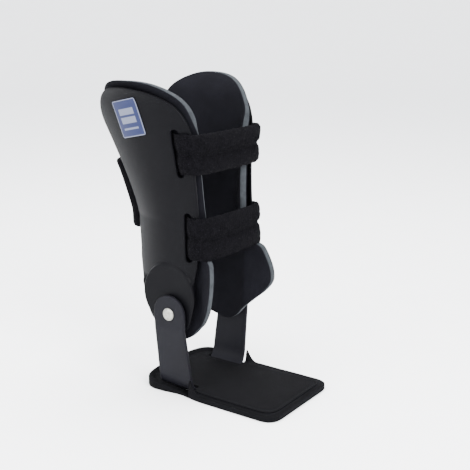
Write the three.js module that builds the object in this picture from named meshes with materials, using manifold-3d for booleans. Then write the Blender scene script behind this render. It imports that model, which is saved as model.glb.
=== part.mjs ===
// Hinged ankle foot orthosis. A U-shaped stirrup runs under the foot, and a rigid shell on each
// side of the leg turns on a rivet at the ankle. Laminated foam liners pad the shells, and plush
// straps close them in front of and behind the leg.
//
// Millimetres, +Z up, toes toward -Y, lateral side toward -X. The sole rests on Z = 0, and the
// ankle axis runs along X through Y = 0, Z = ANKLE_HEIGHT. Side pieces are drawn on the +X side,
// in the plane (Y, Z) with X as their thickness, and mirrored for the lateral side.
import * as THREE from 'three';
import { mergeVertices } from 'three/addons/utils/BufferGeometryUtils.js';
import Module from 'manifold-3d';

const wasm = await Module();
wasm.setup();

// ---------------------------------------------------------------- driving dimensions
const ANKLE_HEIGHT = 73;
const CLEARANCE = 0.3;
const SIDES = { lateral: -1, medial: 1 };

const STIRRUP = {
  thickness: 3, headRadius: 16, topHalfWidth: 15.5, footHalfWidth: 17,
  ankleX: 46.5, bendHeight: 60.5, footX: 40, footHeight: 18, floorX: 26,
};
const SHELL = {
  thickness: 2.5, ankleCrownX: 42.6, narrowestHeight: 150, ankleCentreY: 2,
  flareRate: 0.011, flarePower: 1.56, lipHeight: 246, lipRadius: 28, backwardLean: 0.26,
  frontRadius: 130, rearRadius: 72, rearRadiusGrowth: 0.45,
};
const BOSS = { outerX: 43.2, upper: { y: 3.5, z: 88, radius: 27 }, lowerRadius: 19.5 };
const LINER = {
  hollow: 2.6, fabric: 0.8, foam: 4.8, layerGap: 0.35,
  lobe: { flare: 12.7, growth: 0.2, full: 120, startY: -23.5, reach: 17.5, top: 138, fade: 16 },
  rear: { flare: 5.5, startY: 41, reach: 8, most: 1.3, top: 134, fade: 14 },
};
const RIVET = {
  shankRadius: 2.5, headRadius: 5.5, headRise: 1.9, headEdge: 0.5,
  clinchRadius: 4.5, clinchX: 38.3, clinchThickness: 0.9,
};
const WASHERS = { frictionRadius: 12, backingRadius: 8, backingThickness: 0.9 };
const SLOTS = {
  upper: { bottom: [-12, 189], top: [-9, 228], halfWidth: 3.2 },
  lower: { bottom: [-17, 119], top: [-16, 160], halfWidth: 3.2 },
};
const FRONT_STRAPS = {
  upper: { slot: SLOTS.upper, tab: { y0: -20, y1: 24 } },
  lower: { slot: SLOTS.lower, tab: { y0: -23, y1: 20 } },
};
const STRAP = {
  thickness: 3.4, tail: 1.4, lift: 0.6, slotMargin: 3.2, frontDepth: 6, tailLength: 17,
};
const TAB = { thickness: 1.8, patch: 0.8, patchStart: 7, patchMargin: 3, cornerRadius: 3 };
const REAR_STRAP = {
  bottom: 137, top: 195, thickness: 6, depth: 15, tailY: 13,
  hook: { y0: 2.5, y1: 11.8, z0: 140, z1: 187 },
};
const LINER_HOOKS = {
  upper: { y0: 16, y1: 50, z0: 200, z1: 246 },
  lower: { y0: 4, y1: 30, z0: 117, z1: 133 },
};
const FOOTBED = {
  frontY: -103, halfWidth: 46, frontCorner: 14, heelY: 37, heelStartY: 14, heelSquareness: 3.2,
  waist: { depth: 3, y: -7, reach: 13 }, foam: 5, cover: 0.8, coverInset: 1,
  rimWidth: 4, rimHeight: 8, rimLow: 1, wingHeight: 17, wingReach: 13,
};
const LABEL = {
  centre: [33, 234.5], width: 27.5, height: 30.5, thickness: 0.5, cornerRadius: 1.5, turn: 12,
};

// Shell outline in (Y, Z): up the front edge, over the top and down the rear edge.
const SHELL_OUTLINE = [
  [-18, 96], [-23.5, 112], [-26, 140], [-24.5, 170], [-23, 200], [-22, 226], [-13, 244],
  [6, 255], [30, 259.5], [51, 257.5], [67, 248], [72.5, 234], [65, 212], [54, 185], [46.5, 160],
  [44.5, 136], [42.5, 118], [40, 103], [34, 94], [10, 90],
];
const LINER_OUTLINE = [
  [-4, 47.5], [-13.5, 52], [-21.5, 60.5], [-29, 69], [-37, 77], [-41.5, 84.5], [-42.4, 94],
  [-41.2, 104], [-39, 113], [-36.8, 118.5], [-33, 121.2], [-28.6, 123], [-27, 131], [-26.5, 145],
  [-25, 170], [-23.5, 200], [-23, 229], [-14, 249], [5, 261.5], [29, 265], [50, 262.5], [65, 252],
  [69, 236], [61, 212], [50, 183], [43, 160], [41.5, 144], [43, 131], [46, 117], [45, 99],
  [43.3, 85], [40, 72.5], [34, 63.5], [26, 57.5], [11, 50],
];

// Every shell and liner surface is sampled on this grid, so that the layers nest facet by facet.
const SHEET_GRID = { y0: -48, y1: 76, columns: 12, z0: 40, z1: 270, rows: 18 };

// ---------------------------------------------------------------- solids and meshes
function toManifold(geometry) {
  const plain = geometry.clone();
  plain.deleteAttribute('normal');
  plain.deleteAttribute('uv');
  const welded = mergeVertices(plain, 1e-4);
  return new wasm.Manifold(new wasm.Mesh({
    numProp: 3,
    vertProperties: new Float32Array(welded.attributes.position.array),
    triVerts: new Uint32Array(welded.index.array),
  }));
}

function toGeometry(solid) {
  const mesh = solid.getMesh();
  const geometry = new THREE.BufferGeometry();
  geometry.setAttribute('position', new THREE.BufferAttribute(mesh.vertProperties, 3));
  geometry.setIndex(new THREE.BufferAttribute(mesh.triVerts, 1));
  geometry.computeVertexNormals();
  return geometry;
}

function solidFrom(positions, triangles) {
  const mesh = { numProp: 3, vertProperties: new Float32Array(positions.flat()) };
  mesh.triVerts = new Uint32Array(triangles.flat());
  return new wasm.Manifold(new wasm.Mesh(mesh));
}

function extrude(shape, depth) {
  return new THREE.ExtrudeGeometry(shape, { depth, bevelEnabled: false, curveSegments: 12 });
}

// A prism along X from an outline in (Y, Z).
function prismX(shape, x0, x1) {
  const turn = new THREE.Matrix4().set(0, 0, 1, x0, 1, 0, 0, 0, 0, 1, 0, 0, 0, 0, 0, 1);
  return toManifold(extrude(shape, x1 - x0).applyMatrix4(turn));
}

// A prism along Y from an outline in (X, Z).
function prismY(shape, y0, y1) {
  const turn = new THREE.Matrix4().set(1, 0, 0, 0, 0, 0, -1, y1, 0, 1, 0, 0, 0, 0, 0, 1);
  return toManifold(extrude(shape, y1 - y0).applyMatrix4(turn));
}

function prismZ(shape, z0, z1) {
  return toManifold(extrude(shape, z1 - z0).translate(0, 0, z0));
}

function smoothShape(points, samples) {
  const knots = points.map(([u, v]) => new THREE.Vector3(u, v, 0));
  const curve = new THREE.CatmullRomCurve3(knots, true, 'centripetal');
  const outline = curve.getPoints(samples).slice(0, -1);
  if (THREE.ShapeUtils.area(outline) < 0) outline.reverse();
  return new THREE.Shape(outline.map((p) => new THREE.Vector2(p.x, p.y)));
}

// The closed outline of a band of the given half thicknesses along an open path of [u, v] points.
function bandEdges(path, halfThickness) {
  const left = [];
  const right = [];
  path.forEach(([u, v], i) => {
    const before = path[Math.max(i - 1, 0)];
    const after = path[Math.min(i + 1, path.length - 1)];
    const length = Math.hypot(after[0] - before[0], after[1] - before[1]);
    const normal = [-(after[1] - before[1]) / length, (after[0] - before[0]) / length];
    left.push([u + normal[0] * halfThickness[i], v + normal[1] * halfThickness[i]]);
    right.push([u - normal[0] * halfThickness[i], v - normal[1] * halfThickness[i]]);
  });
  return { left, right };
}

// A band that stands on edge: pathAt(z) gives its centre line and half thickness at each height.
function standingBand(pathAt, z0, z1, levels) {
  const positions = [];
  const triangles = [];
  let count = 0;
  for (let level = 0; level <= levels; level += 1) {
    const z = z0 + ((z1 - z0) * level) / levels;
    const { path, half } = pathAt(z);
    const { left, right } = bandEdges(path, half);
    count = path.length;
    [...left, ...right.reverse()].forEach(([x, y]) => positions.push([x, y, z]));
  }
  const ring = 2 * count;
  for (let level = 0; level < levels; level += 1) {
    for (let i = 0; i < ring; i += 1) {
      const a = level * ring + i;
      const b = level * ring + ((i + 1) % ring);
      triangles.push([a, b + ring, b], [a, a + ring, b + ring]);
    }
  }
  const top = levels * ring;
  for (let i = 0; i < count - 1; i += 1) {
    const j = ring - 1 - i;
    triangles.push([i, i + 1, j - 1], [i, j - 1, j]);
    triangles.push([top + i, top + j - 1, top + i + 1], [top + i, top + j, top + j - 1]);
  }
  return solidFrom(positions, triangles);
}

// A solid between two surfaces x = inner(y, z) and x = outer(y, z), over the whole sheet grid.
function sheet(inner, outer) {
  const { y0, y1, columns, z0, z1, rows } = SHEET_GRID;
  const positions = [];
  [inner, outer].forEach((surface) => {
    for (let row = 0; row <= rows; row += 1) {
      for (let column = 0; column <= columns; column += 1) {
        const y = y0 + ((y1 - y0) * column) / columns;
        const z = z0 + ((z1 - z0) * row) / rows;
        positions.push([surface(y, z), y, z]);
      }
    }
  });
  const layer = (rows + 1) * (columns + 1);
  const at = (row, column) => row * (columns + 1) + column;
  const triangles = [];
  const quad = (a, b, c, d) => triangles.push([a, b, c], [a, c, d]);
  for (let row = 0; row < rows; row += 1) {
    for (let column = 0; column < columns; column += 1) {
      const [a, b] = [at(row, column), at(row, column + 1)];
      const [c, d] = [at(row + 1, column + 1), at(row + 1, column)];
      quad(a + layer, b + layer, c + layer, d + layer);
      triangles.push([a, c, b], [a, d, c]);
    }
  }
  for (let row = 0; row < rows; row += 1) {
    const [left, leftUp] = [at(row, 0), at(row + 1, 0)];
    const [right, rightUp] = [at(row, columns), at(row + 1, columns)];
    quad(left, left + layer, leftUp + layer, leftUp);
    quad(rightUp, rightUp + layer, right + layer, right);
  }
  for (let column = 0; column < columns; column += 1) {
    const [low, lowNext] = [at(0, column), at(0, column + 1)];
    const [high, highNext] = [at(rows, column), at(rows, column + 1)];
    quad(lowNext, lowNext + layer, low + layer, low);
    quad(high, high + layer, highNext + layer, highNext);
  }
  return solidFrom(positions, triangles);
}

// ---------------------------------------------------------------- the form of the shell
const WIDE = 90;

function rise(z) {
  return Math.max(0, z - SHELL.narrowestHeight);
}

function shellCentreY(z) {
  return SHELL.ankleCentreY + SHELL.backwardLean * rise(z);
}

// Outer face of the shell: a crown line that flares with the calf and rolls away to both edges.
function shellX(y, z) {
  const lip = Math.max(0, z - SHELL.lipHeight) ** 2 / (2 * SHELL.lipRadius);
  const crown = SHELL.ankleCrownX + SHELL.flareRate * rise(z) ** SHELL.flarePower + lip;
  const across = y - shellCentreY(z);
  const rearRadius = SHELL.rearRadius + SHELL.rearRadiusGrowth * rise(z);
  const radius = across < 0 ? SHELL.frontRadius : rearRadius;
  return crown - across ** 2 / (2 * radius);
}

// Outer face of the liner. Its lower lobe turns outward ahead of the ankle, and its margin
// behind the ankle turns outward a little too.
function linerX(y, z) {
  const { lobe, rear } = LINER;
  const clamp = THREE.MathUtils.clamp;
  const front = Math.max(0, (lobe.startY - y) / lobe.reach) ** 1.2;
  const frontFlare = lobe.flare + lobe.growth * Math.max(0, lobe.full - z);
  const behind = clamp((y - rear.startY) / rear.reach, 0, rear.most);
  const flare = frontFlare * front * clamp((lobe.top - z) / lobe.fade, 0, 1)
    + rear.flare * behind * clamp((rear.top - z) / rear.fade, 0, 1);
  return shellX(y, z) - SHELL.thickness - LINER.hollow + flare;
}

const offset = (surface, distance) => (y, z) => surface(y, z) + distance;
const flat = (x) => () => x;

const shellShape = smoothShape(SHELL_OUTLINE, 72);
const linerShape = smoothShape(LINER_OUTLINE, 80);

// The front-most (Math.min) or rear-most (Math.max) Y of an outline at height z.
function edgeY(shape, z, pick) {
  const points = shape.getPoints();
  const crossings = [];
  points.forEach((a, i) => {
    const b = points[(i + 1) % points.length];
    if ((a.y - z) * (b.y - z) <= 0 && a.y !== b.y) {
      crossings.push(a.x + ((b.x - a.x) * (z - a.y)) / (b.y - a.y));
    }
  });
  return pick(...crossings);
}

// ---------------------------------------------------------------- stirrup and hinge hardware
function ankleHole(radius) {
  const hole = new THREE.CylinderGeometry(radius, radius, WIDE, 32).rotateZ(Math.PI / 2);
  return toManifold(hole.translate(WIDE / 2, 0, ANKLE_HEIGHT));
}

function stirrupPath() {
  const aboveHead = ANKLE_HEIGHT + STIRRUP.headRadius + 5;
  const upright = [[STIRRUP.ankleX, aboveHead], [STIRRUP.ankleX, STIRRUP.bendHeight]];
  const floor = STIRRUP.thickness / 2;
  const start = new THREE.Vector2(STIRRUP.footX, STIRRUP.footHeight);
  const corner = new THREE.Vector2(STIRRUP.footX - 1.5, floor);
  const bend = new THREE.QuadraticBezierCurve(start, corner, new THREE.Vector2(STIRRUP.floorX, floor));
  const half = [...upright, ...bend.getPoints(8).map((p) => [p.x, p.y])];
  const mirrored = half.map(([x, z]) => [-x, z]).reverse();
  return [...half, ...mirrored];
}

function stirrupSolid(grow) {
  const path = stirrupPath();
  const { left, right } = bandEdges(path, path.map(() => STIRRUP.thickness / 2 + grow));
  const edges = [...left, ...right.reverse()].map(([x, z]) => new THREE.Vector2(x, z));
  const profile = new THREE.Shape(edges);
  const below = -STIRRUP.thickness;
  const side = new THREE.Shape();
  side.absarc(0, ANKLE_HEIGHT, STIRRUP.headRadius + grow, 0, Math.PI, false);
  side.lineTo(-STIRRUP.topHalfWidth - grow, STIRRUP.bendHeight);
  side.lineTo(-STIRRUP.footHalfWidth - grow, STIRRUP.footHeight);
  side.lineTo(-STIRRUP.footHalfWidth - grow, below);
  side.lineTo(STIRRUP.footHalfWidth + grow, below);
  side.lineTo(STIRRUP.footHalfWidth + grow, STIRRUP.footHeight);
  side.lineTo(STIRRUP.topHalfWidth + grow, STIRRUP.bendHeight);
  return prismY(profile, -WIDE, WIDE).intersect(prismX(side, -WIDE, WIDE));
}

function stirrup() {
  const hole = ankleHole(RIVET.shankRadius + CLEARANCE);
  return stirrupSolid(0).subtract(hole).subtract(hole.mirror([1, 0, 0]));
}

function rivet() {
  const headX = STIRRUP.ankleX + STIRRUP.thickness / 2 + CLEARANCE / 2;
  const clinchEnd = RIVET.clinchX + RIVET.clinchThickness;
  const profile = [
    [0, RIVET.clinchX], [RIVET.clinchRadius, RIVET.clinchX], [RIVET.clinchRadius, clinchEnd],
    [RIVET.shankRadius, clinchEnd], [RIVET.shankRadius, headX], [RIVET.headRadius, headX],
  ];
  const domeSteps = 4;
  for (let step = 0; step < domeSteps; step += 1) {
    const angle = (step / domeSteps) * (Math.PI / 2);
    const dome = (RIVET.headRise - RIVET.headEdge) * Math.sin(angle);
    profile.push([RIVET.headRadius * Math.cos(angle), headX + RIVET.headEdge + dome]);
  }
  profile.push([0, headX + RIVET.headRise]);
  const turned = new THREE.LatheGeometry(profile.map(([r, x]) => new THREE.Vector2(r, x)), 32);
  return toManifold(turned.rotateZ(-Math.PI / 2).translate(0, 0, ANKLE_HEIGHT));
}

function washer(radius, x0, x1) {
  const ring = new THREE.Shape().absarc(0, ANKLE_HEIGHT, radius, 0, 2 * Math.PI);
  const bore = new THREE.Path();
  bore.absarc(0, ANKLE_HEIGHT, RIVET.shankRadius + CLEARANCE, 0, 2 * Math.PI);
  ring.holes.push(bore);
  return prismX(ring, x0, x1);
}

// ---------------------------------------------------------------- shells
// The hull of the two boss circles, its lower one on the ankle axis.
function bossShape(inset) {
  const { y, z, radius } = BOSS.upper;
  const lean = Math.atan2(z - ANKLE_HEIGHT, y);
  const wrap = Math.acos((BOSS.lowerRadius - radius) / Math.hypot(y, z - ANKLE_HEIGHT));
  const shape = new THREE.Shape();
  const [from, to] = [lean - wrap, lean + wrap];
  shape.absarc(y, z, radius - inset, from, to, false);
  shape.absarc(0, ANKLE_HEIGHT, BOSS.lowerRadius - inset, to, from + 2 * Math.PI, false);
  return shape;
}

function slotSolid({ bottom, top, halfWidth }) {
  const lean = Math.atan2(top[1] - bottom[1], top[0] - bottom[0]);
  const [y, z] = [Math.cos(lean) * halfWidth, Math.sin(lean) * halfWidth];
  const [right, left] = [lean - Math.PI / 2, lean + Math.PI / 2];
  const shape = new THREE.Shape();
  shape.absarc(top[0] - y, top[1] - z, halfWidth, right, left);
  shape.absarc(bottom[0] + y, bottom[1] + z, halfWidth, left, right + 2 * Math.PI);
  return prismX(shape, 0, WIDE);
}

function shell() {
  const inside = offset(shellX, -SHELL.thickness);
  const wall = sheet(inside, shellX).intersect(prismX(shellShape, 0, WIDE));
  const open = wall.subtract(prismX(bossShape(SHELL.thickness / 2), 0, WIDE));
  const boss = sheet(inside, flat(BOSS.outerX)).intersect(prismX(bossShape(0), 0, WIDE));
  const pocket = prismX(bossShape(SHELL.thickness), 0, BOSS.outerX - SHELL.thickness);
  return open.add(boss).subtract(pocket)
    .subtract(slotSolid(SLOTS.upper)).subtract(slotSolid(SLOTS.lower))
    .subtract(ankleHole(RIVET.shankRadius + CLEARANCE));
}

// ---------------------------------------------------------------- liners
function linerLayer(fromFace, thickness) {
  const outer = offset(linerX, -fromFace);
  const inner = offset(linerX, -fromFace - thickness);
  return sheet(inner, outer).intersect(prismX(linerShape, 0, WIDE));
}

const foamDepth = LINER.fabric + LINER.layerGap;
const innerFabricDepth = foamDepth + LINER.foam + LINER.layerGap;

function roundedShape(u0, u1, v0, v1, radius) {
  const shape = new THREE.Shape();
  shape.absarc(u1 - radius, v1 - radius, radius, 0, Math.PI / 2);
  shape.absarc(u0 + radius, v1 - radius, radius, Math.PI / 2, Math.PI);
  shape.absarc(u0 + radius, v0 + radius, radius, Math.PI, 1.5 * Math.PI);
  shape.absarc(u1 - radius, v0 + radius, radius, 1.5 * Math.PI, 2 * Math.PI);
  return new THREE.Shape(shape.getPoints(3));
}

// Hook patches are stuck on the liner, in the hollow behind the shell.
function hookPatch({ y0, y1, z0, z1 }) {
  const lower = offset(linerX, CLEARANCE);
  const upper = offset(linerX, LINER.hollow - 2 * CLEARANCE);
  return sheet(lower, upper).intersect(prismX(roundedShape(y0, y1, z0, z1, 4), 0, WIDE));
}

function label() {
  const { centre, width, height, thickness, cornerRadius, turn } = LABEL;
  const flatShape = roundedShape(-width / 2, width / 2, -height / 2, height / 2, cornerRadius);
  const turned = new THREE.Shape(flatShape.getPoints().map((p) => {
    const point = p.clone().rotateAround(new THREE.Vector2(), -THREE.MathUtils.degToRad(turn));
    return point.add(new THREE.Vector2(...centre));
  }));
  const face = sheet(offset(shellX, CLEARANCE), offset(shellX, CLEARANCE + thickness));
  return face.intersect(prismX(turned, 0, WIDE));
}

// ---------------------------------------------------------------- straps
const tailOffset = -SHELL.thickness - LINER.hollow / 2;
const outsideOffset = STRAP.lift + STRAP.thickness / 2;

function slotY({ bottom, top }, z) {
  return bottom[0] + ((top[0] - bottom[0]) * (z - bottom[1])) / (top[1] - bottom[1]);
}

// The bottom and top of a front strap, a little short of the ends of its slot.
function strapSpan({ bottom, top }) {
  return [bottom[1] + STRAP.slotMargin, top[1] - STRAP.slotMargin];
}

// The run of a front strap between the two shells: a flattened half ellipse ahead of the leg.
function frontRun(z, steps) {
  const edge = edgeY(linerShape, z, Math.min);
  const halfWidth = shellX(edge, z) + outsideOffset;
  const flatten = (value) => Math.sign(value) * Math.abs(value) ** 0.8;
  const points = [];
  for (let step = 0; step <= steps; step += 1) {
    const angle = (Math.PI * step) / steps;
    points.push([
      -halfWidth * flatten(Math.cos(angle)),
      edge - 1 - STRAP.frontDepth * flatten(Math.sin(angle)),
    ]);
  }
  return points;
}

// From the lateral tail out through the lateral slot and across the front to the medial shell.
function frontStrap({ slot, tab }) {
  const pathAt = (z) => {
    const middle = slotY(slot, z);
    const edge = edgeY(shellShape, z, Math.min);
    const lateral = (y, off) => [-(shellX(y, z) + off), y];
    const entry = [
      [lateral(middle + STRAP.tailLength, tailOffset), STRAP.tail / 2],
      [lateral(middle + 12, tailOffset), STRAP.tail / 2],
      [lateral(middle + 3.6, tailOffset), STRAP.tail / 2],
      [lateral(middle + 1.2, -2.6), STRAP.tail / 2],
      [lateral(middle - 1.2, 0.4), STRAP.tail / 2],
      [lateral(middle - 3.8, 2.1), STRAP.tail / 2 + 0.4],
      [lateral((middle + edge) / 2 - 1.5, outsideOffset), STRAP.thickness / 2],
      [lateral(edge, outsideOffset), STRAP.thickness / 2],
    ];
    const across = frontRun(z, 14).map((point) => [point, STRAP.thickness / 2]);
    const end = tab.y0 - 2 * CLEARANCE;
    const exit = [
      [[shellX(edge, z) + outsideOffset, edge], STRAP.thickness / 2],
      [[shellX(end, z) + outsideOffset, end], STRAP.thickness / 2],
    ];
    const stations = [...entry, ...across, ...exit];
    return { path: stations.map(([point]) => point), half: stations.map(([, half]) => half) };
  };
  return standingBand(pathAt, ...strapSpan(slot), 4);
}

// A flat piece that lies over the outside of a shell, between two distances from it.
function overShell(y0, y1, [z0, z1], from, to) {
  const slab = sheet(offset(shellX, from), offset(shellX, to));
  return slab.intersect(prismX(roundedShape(y0, y1, z0, z1, TAB.cornerRadius), 0, WIDE));
}

// The free end of a front strap, pressed on the loop patch behind the medial slot.
function hookTab({ slot, tab }) {
  const under = TAB.patch + 2 * CLEARANCE;
  return overShell(tab.y0, tab.y1, strapSpan(slot), under, under + TAB.thickness);
}

function loopPatch({ slot, tab }) {
  const [from, to] = [slot.top[0] + TAB.patchStart, tab.y1 + TAB.patchMargin];
  return overShell(from, to, strapSpan(slot), CLEARANCE, CLEARANCE + TAB.patch);
}

function rearStrap() {
  const pathAt = (z) => {
    const edge = edgeY(shellShape, z, Math.max);
    const tail = (y) => [-(shellX(y, z) + tailOffset), y];
    const lateral = [];
    for (let step = 0; step <= 5; step += 1) {
      lateral.push(tail(REAR_STRAP.tailY + ((edge - REAR_STRAP.tailY) * step) / 5));
    }
    lateral.push([lateral.at(-1)[0], edge + 1.5]);
    const behind = [];
    const halfWidth = shellX(edge, z) + tailOffset;
    for (let angle = 10; angle <= 170; angle += 16) {
      const turn = THREE.MathUtils.degToRad(angle);
      behind.push([-halfWidth * Math.cos(turn), edge + 3 + REAR_STRAP.depth * Math.sin(turn)]);
    }
    const medial = lateral.map(([x, y]) => [-x, y]).reverse();
    const path = [...lateral, ...behind, ...medial];
    const plush = (i) => i >= lateral.length && i < path.length - medial.length;
    const half = path.map((_, i) => (plush(i) ? REAR_STRAP.thickness / 2 : STRAP.tail / 2));
    return { path, half };
  };
  return standingBand(pathAt, REAR_STRAP.bottom, REAR_STRAP.top, 6);
}

// ---------------------------------------------------------------- footbed
// The sides draw in beside the uprights.
function footbedHalfWidth(y) {
  const { depth, y: middle, reach } = FOOTBED.waist;
  return FOOTBED.halfWidth - depth * Math.exp(-(((y - middle) / reach) ** 2));
}

function footbedShape(inset) {
  const { heelStartY, frontCorner: corner } = FOOTBED;
  const heel = footbedHalfWidth(heelStartY) - inset;
  const depth = FOOTBED.heelY - heelStartY - inset;
  const front = FOOTBED.frontY + inset;
  const side = FOOTBED.halfWidth - inset;
  const rounded = (value) => Math.sign(value) * Math.abs(value) ** (2 / FOOTBED.heelSquareness);
  const left = [];
  for (let step = 0; step <= 8; step += 1) {
    const angle = (Math.PI / 16) * (8 + step);
    left.push([heel * rounded(Math.cos(angle)), heelStartY + depth * rounded(Math.sin(angle))]);
  }
  const waistEnd = -45;
  for (let y = heelStartY - 5; y > waistEnd; y -= 5) left.push([inset - footbedHalfWidth(y), y]);
  left.push([-side, front + corner]);
  const shape = new THREE.Shape(left.map(([x, y]) => new THREE.Vector2(x, y)));
  shape.quadraticCurveTo(-side, front, -side + corner, front);
  shape.lineTo(side - corner, front);
  shape.quadraticCurveTo(side, front, side, front + corner);
  left.slice(1, -1).reverse().forEach(([x, y]) => shape.lineTo(-x, y));
  return shape;
}

// The rim wraps the heel and falls away past each upright, and a small wing sweeps up ahead of it.
function footbedFoam() {
  const { rimHeight, rimLow, wingHeight, wingReach, rimWidth, foam } = FOOTBED;
  const beside = STIRRUP.footHalfWidth + CLEARANCE;
  const wingFoot = foam - 0.5;
  const profile = new THREE.Shape();
  profile.moveTo(-beside - wingReach, 0);
  profile.lineTo(-beside - wingReach, wingFoot);
  profile.quadraticCurveTo(-beside - 1.7, wingFoot + 1, -beside, wingHeight);
  profile.lineTo(-beside, rimLow);
  profile.lineTo(beside, rimHeight);
  profile.lineTo(FOOTBED.heelY + 1, rimHeight);
  profile.lineTo(FOOTBED.heelY + 1, 0);
  const ring = prismZ(footbedShape(0), 0, wingHeight)
    .subtract(prismZ(footbedShape(rimWidth), -1, wingHeight + 1));
  const overStrip = new THREE.Shape();
  overStrip.moveTo(-beside, rimLow);
  overStrip.lineTo(beside, rimHeight);
  overStrip.lineTo(-beside, rimHeight);
  const cut = prismX(overStrip, STIRRUP.footX - rimWidth, WIDE);
  return prismZ(footbedShape(0), 0, foam)
    .add(ring.intersect(prismX(profile, -WIDE, WIDE)))
    .subtract(cut).subtract(cut.mirror([1, 0, 0]))
    .subtract(stirrupSolid(CLEARANCE));
}

function footbedCover() {
  const from = FOOTBED.foam + CLEARANCE;
  const shape = footbedShape(FOOTBED.rimWidth + FOOTBED.coverInset);
  return prismZ(shape, from, from + FOOTBED.cover).subtract(stirrupSolid(2 * CLEARANCE));
}

// ---------------------------------------------------------------- materials and assembly
const look = (color, roughness, metalness = 0) => ({ color, roughness, metalness });
const SHELL_PLASTIC = look(0x37373c, 0.42);
const STIRRUP_PLASTIC = look(0x424348, 0.4);
const FABRIC = look(0x16161c, 0.95);
const FOAM = look(0x6e7378, 0.9);
const PLUSH = look(0x19181c, 1);
const HOOK = look(0x222226, 0.9);
const NYLON = look(0x2a2a2c, 0.6);
const STEEL = look(0xc8c8be, 0.3, 0.9);
const LABEL_BLUE = look(0x55649b, 0.5);

const group = new THREE.Group();

function addPart(name, solid, material) {
  const mesh = new THREE.Mesh(toGeometry(solid), new THREE.MeshStandardMaterial(material));
  mesh.name = name;
  group.add(mesh);
}

addPart('stirrup', stirrup(), STIRRUP_PLASTIC);
addPart('footbed_foam', footbedFoam(), FABRIC);
addPart('footbed_cover', footbedCover(), FABRIC);

const uprightInner = STIRRUP.ankleX - STIRRUP.thickness / 2;
const backingOuter = BOSS.outerX - SHELL.thickness - CLEARANCE;
const frictionSpan = [BOSS.outerX + CLEARANCE, uprightInner - CLEARANCE];
const backingSpan = [backingOuter - WASHERS.backingThickness, backingOuter];
const sidePieces = {
  rivet: [rivet(), STEEL],
  friction_washer: [washer(WASHERS.frictionRadius, ...frictionSpan), NYLON],
  backing_washer: [washer(WASHERS.backingRadius, ...backingSpan), STEEL],
  shell: [shell(), SHELL_PLASTIC],
  liner_outer_fabric: [linerLayer(0, LINER.fabric), FABRIC],
  liner_foam: [linerLayer(foamDepth, LINER.foam), FOAM],
  liner_inner_fabric: [linerLayer(innerFabricDepth, LINER.fabric), FABRIC],
  upper_liner_hook_patch: [hookPatch(LINER_HOOKS.upper), HOOK],
  lower_liner_hook_patch: [hookPatch(LINER_HOOKS.lower), HOOK],
  rear_strap_hook_tab: [hookPatch(REAR_STRAP.hook), HOOK],
};

Object.entries(SIDES).forEach(([side, direction]) => {
  Object.entries(sidePieces).forEach(([piece, [solid, material]]) => {
    addPart(`${side}_${piece}`, direction < 0 ? solid.mirror([1, 0, 0]) : solid, material);
  });
});

Object.entries(FRONT_STRAPS).forEach(([level, strap]) => {
  addPart(`${level}_strap`, frontStrap(strap), PLUSH);
  addPart(`${level}_strap_hook_tab`, hookTab(strap), PLUSH);
  addPart(`${level}_shell_loop_patch`, loopPatch(strap), HOOK);
});
addPart('rear_strap', rearStrap(), PLUSH);
addPart('side_label', label().mirror([1, 0, 0]), LABEL_BLUE);

export default group;
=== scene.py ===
# The looks of a hinged ankle foot orthosis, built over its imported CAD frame. Sizes below are in
# millimetres, in the frame's own axes: +Z up, toes toward -Y, lateral side toward -X. Side pieces
# are drawn for the medial (+X) side, in the plane (Y, Z), and mirrored for the lateral side.
import math

import bmesh
import bpy
import numpy as np
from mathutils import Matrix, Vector, geometry, noise


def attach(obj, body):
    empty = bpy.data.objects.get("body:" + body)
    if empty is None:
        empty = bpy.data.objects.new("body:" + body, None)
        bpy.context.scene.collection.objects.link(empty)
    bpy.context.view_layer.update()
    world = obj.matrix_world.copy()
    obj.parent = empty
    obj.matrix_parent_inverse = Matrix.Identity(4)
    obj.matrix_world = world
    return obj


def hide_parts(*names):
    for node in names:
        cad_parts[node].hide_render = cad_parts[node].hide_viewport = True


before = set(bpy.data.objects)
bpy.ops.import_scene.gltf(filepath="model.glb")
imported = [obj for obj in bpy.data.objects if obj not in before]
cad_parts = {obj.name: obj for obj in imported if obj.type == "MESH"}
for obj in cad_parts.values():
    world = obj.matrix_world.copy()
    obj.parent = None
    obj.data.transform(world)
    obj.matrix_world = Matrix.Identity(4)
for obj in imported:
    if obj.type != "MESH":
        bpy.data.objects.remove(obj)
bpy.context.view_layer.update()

MM = 0.001
SIDES = {"lateral": -1, "medial": 1}

# ------------------------ driving dimensions
ANKLE_HEIGHT = 73
STIRRUP = dict(thickness=3, head_radius=16, top_half=15.5, foot_half=17, ankle_x=46.5,
               bend_height=60.5, foot_x=40, foot_height=18, floor_x=26)
SHELL = dict(thickness=2.5, crown=42.6, narrowest=150, centre_y=2, flare_rate=0.011,
             flare_power=1.56, lip_height=246, lip_radius=28, lean=0.26, front_radius=130,
             rear_radius=72, rear_growth=0.45)
BOSS = dict(x=43.2, y=3.5, z=88, radius=27, lower_radius=19.5, ledge=0.9, wall_ends=(99, 91))
LINER = dict(hollow=2.6, fabric=0.9, foam=5.3)
LOBE = dict(flare=12.7, growth=0.2, full=120, start_y=-23.5, reach=17.5, top=138, fade=16)
FRONT_CURL = dict(depth=3.4, start_y=-17.5, reach=7, bottom=122, top=240)
REAR_MARGIN = dict(flare=5.5, start_y=40, reach=10, most=1.3, top=134, fade=14)
SLOTS = {"upper": ((-12, 189), (-9, 228)), "lower": ((-17, 119), (-16, 160))}
SLOT_HALF = 3.2
TABS = {"upper": (-20, 24), "lower": (-23, 20)}
TAB = dict(thickness=1.8, patch=0.8, under=1.4)
STRAP = dict(thickness=3.4, tail=1.4, lift=0.6, depth=6, tail_length=17, margin=3.2, corner=2.8)
REAR_STRAP = dict(bottom=137, top=195, thickness=6, depth=15, tail_y=13, hidden=66)
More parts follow.
